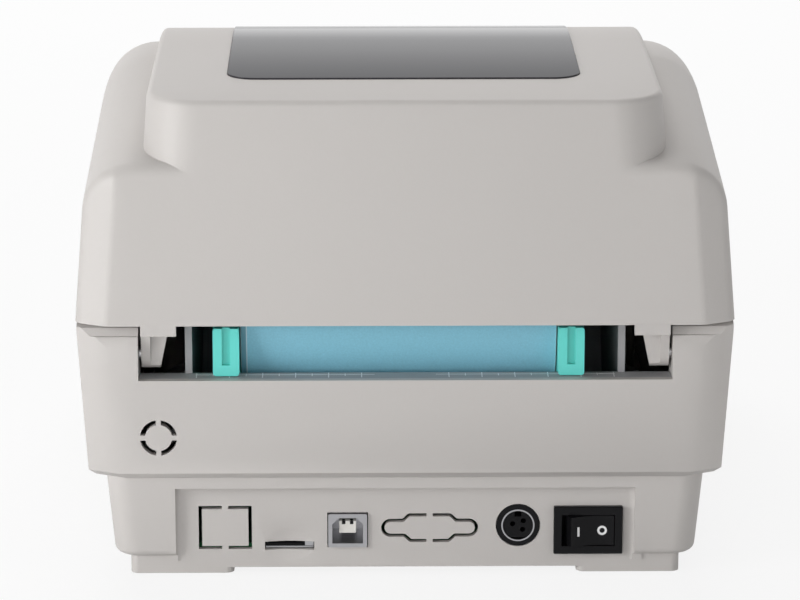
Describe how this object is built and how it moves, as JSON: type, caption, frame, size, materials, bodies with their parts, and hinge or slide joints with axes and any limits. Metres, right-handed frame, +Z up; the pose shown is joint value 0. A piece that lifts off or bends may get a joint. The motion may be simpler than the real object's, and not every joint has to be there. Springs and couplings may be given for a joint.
{
  "type": "barcode printer",
  "caption": "Desktop label printer with a rear-hinged windowed cover, media guides, a driven platen and a rear connector panel.",
  "frame": {"origin": "on the table, under the middle of the printer's outer box", "axes": "+Z up, -Y towards the front with the label exit, +Y towards the rear connector panel"},
  "size_m": [0.208, 0.248, 0.1556],
  "materials": {
    "cover_plastic": "fine moulded texture",
    "case_plastic": "fine moulded texture",
    "tray_plastic": "fine moulded texture",
    "guide_plastic": "smooth satin",
    "inner_plastic": "satin",
    "gear_plastic": "smooth",
    "window_plastic": "polished, dark tinted",
    "roll_liner": "coated backing paper, outside of the roll",
    "roll_board": "wound board",
    "black_plastic": "satin",
    "white_plastic": "smooth",
    "lens_plastic": "clear tinted",
    "board_resin": "lacquered",
    "capacitor_case": "sleeved",
    "plated_steel": "zinc plated",
    "bright_steel": "ground",
    "spring_steel": "drawn wire",
    "screw_steel": "zinc plated",
    "pinion_brass": "machined",
    "motor_steel": "black lacquer",
    "heatsink_metal": "extruded",
    "head_glaze": "glazed",
    "platen_rubber": "ground",
    "foot_rubber": "moulded"
  },
  "bodies": {
    "root": {"base_case": "case_plastic", "rubber_feet": "foot_rubber", "main_case": "case_plastic", "hinge_pins": "bright_steel", "media_tray": "tray_plastic", "pinion_post": "bright_steel", "side_frame_left": "plated_steel", "side_frame_right": "plated_steel", "platen_bushes": "gear_plastic", "sensor_rail": "bright_steel", "idler_post": "bright_steel", "stepper_motor": "motor_steel", "latch_spring": "spring_steel", "front_bezel": "case_plastic", "tear_bar": "bright_steel", "button_board": "board_resin", "led_lens": "lens_plastic", "cover_switch": "black_plastic", "main_board": "board_resin", "board_capacitors": "capacitor_case", "processor_chip": "black_plastic", "board_connectors": "white_plastic", "usb_shell": "plated_steel", "usb_tongue": "white_plastic", "power_inlet_body": "black_plastic", "power_inlet_ring": "plated_steel", "card_socket": "black_plastic", "switch_body": "black_plastic", "case_screws": "screw_steel", "tray_screws": "screw_steel", "board_screws": "screw_steel", "frame_screws": "screw_steel"},
    "cover": {"top_cover": "cover_plastic", "window": "window_plastic", "cover_liner": "inner_plastic", "catch_pins": "bright_steel", "head_pivot": "bright_steel", "upper_sensor": "black_plastic", "head_springs": "spring_steel", "liner_screws": "screw_steel"},
    "head": {"head_bracket": "plated_steel", "print_head": "heatsink_metal", "head_ceramic": "head_glaze"},
    "latch": {"latch_shaft": "bright_steel", "latch_hooks": "inner_plastic", "release_tabs": "inner_plastic"},
    "guide_left": {"guide_left": "guide_plastic"},
    "guide_right": {"guide_right": "guide_plastic"},
    "pinion": {"guide_pinion": "gear_plastic"},
    "roll": {"label_roll": "roll_liner", "roll_core": "roll_board"},
    "platen": {"platen_shaft": "bright_steel", "platen_rubber": "platen_rubber", "platen_gear": "gear_plastic"},
    "idler": {"idler_gear": "gear_plastic"},
    "motor_rotor": {"motor_shaft": "bright_steel", "motor_pinion": "pinion_brass"},
    "rocker": {"rocker": "black_plastic"},
    "feed_button": {"feed_button": "white_plastic"},
    "sensor": {"sensor_carriage": "black_plastic"}
  },
  "joints": [
    {"name": "cover_hinge", "type": "hinge", "parent": "root", "child": "cover", "pos_m": [0, 0.115, 0.073], "axis": [-1, 0, 0], "range_deg": [0, 75]},
    {"name": "head_rock", "type": "hinge", "parent": "cover", "child": "head", "pos_m": [0, -0.062, 0.095], "axis": [-1, 0, 0], "range_deg": [0, 2.5], "stiffness_Nm_per_rad": 6, "springref_deg": -1.15, "deforming": ["head_springs"]},
    {"name": "latch_turn", "type": "hinge", "parent": "root", "child": "latch", "pos_m": [0, -0.06, 0.073], "axis": [-1, 0, 0], "range_deg": [0, 10], "stiffness_Nm_per_rad": 0.4, "springref_deg": -17.19},
    {"name": "guide_left_slide", "type": "slide", "parent": "root", "child": "guide_left", "axis": [1, 0, 0], "range_m": [0, 0.006]},
    {"name": "guide_right_slide", "type": "slide", "parent": "root", "child": "guide_right", "axis": [-1, 0, 0], "range_m": [0, 0.006]},
    {"name": "guide_pinion_turn", "type": "hinge", "parent": "root", "child": "pinion", "pos_m": [0.0021, -0.006, 0.069], "axis": [0, 0, -1], "range_deg": [0, 43]},
    {"name": "roll_turn", "type": "hinge", "parent": "root", "child": "roll", "pos_m": [0.0021, 0.068, 0.088], "axis": [1, 0, 0], "continuous": true},
    {"name": "platen_turn", "type": "hinge", "parent": "root", "child": "platen", "pos_m": [0, -0.098, 0.075], "axis": [1, 0, 0], "continuous": true},
    {"name": "idler_turn", "type": "hinge", "parent": "root", "child": "idler", "pos_m": [-0.071, -0.08448, 0.05397], "axis": [1, 0, 0], "continuous": true},
    {"name": "motor_turn", "type": "hinge", "parent": "root", "child": "motor_rotor", "pos_m": [-0.071, -0.066, 0.044], "axis": [1, 0, 0], "continuous": true},
    {"name": "rocker_tip", "type": "hinge", "parent": "root", "child": "rocker", "pos_m": [-0.0584, 0.1135, 0.0148], "axis": [0, 0, -1], "range_deg": [0, 20]},
    {"name": "feed_button_press", "type": "slide", "parent": "root", "child": "feed_button", "axis": [0, 1, 0], "range_m": [0, 0.0008], "stiffness_N_per_m": 1200, "springref_m": -0.0005},
    {"name": "sensor_slide", "type": "slide", "parent": "root", "child": "sensor", "axis": [1, 0, 0], "range_m": [-0.04, 0.04]}
  ],
  "couplings": [
    {"joint": "guide_right_slide", "follows": "guide_left_slide", "ratio": 1},
    {"joint": "guide_pinion_turn", "follows": "guide_left_slide", "rad_per_m": 125},
    {"joint": "idler_turn", "follows": "platen_turn", "ratio": -0.66667},
    {"joint": "motor_turn", "follows": "platen_turn", "ratio": 1.6667}
  ]
}
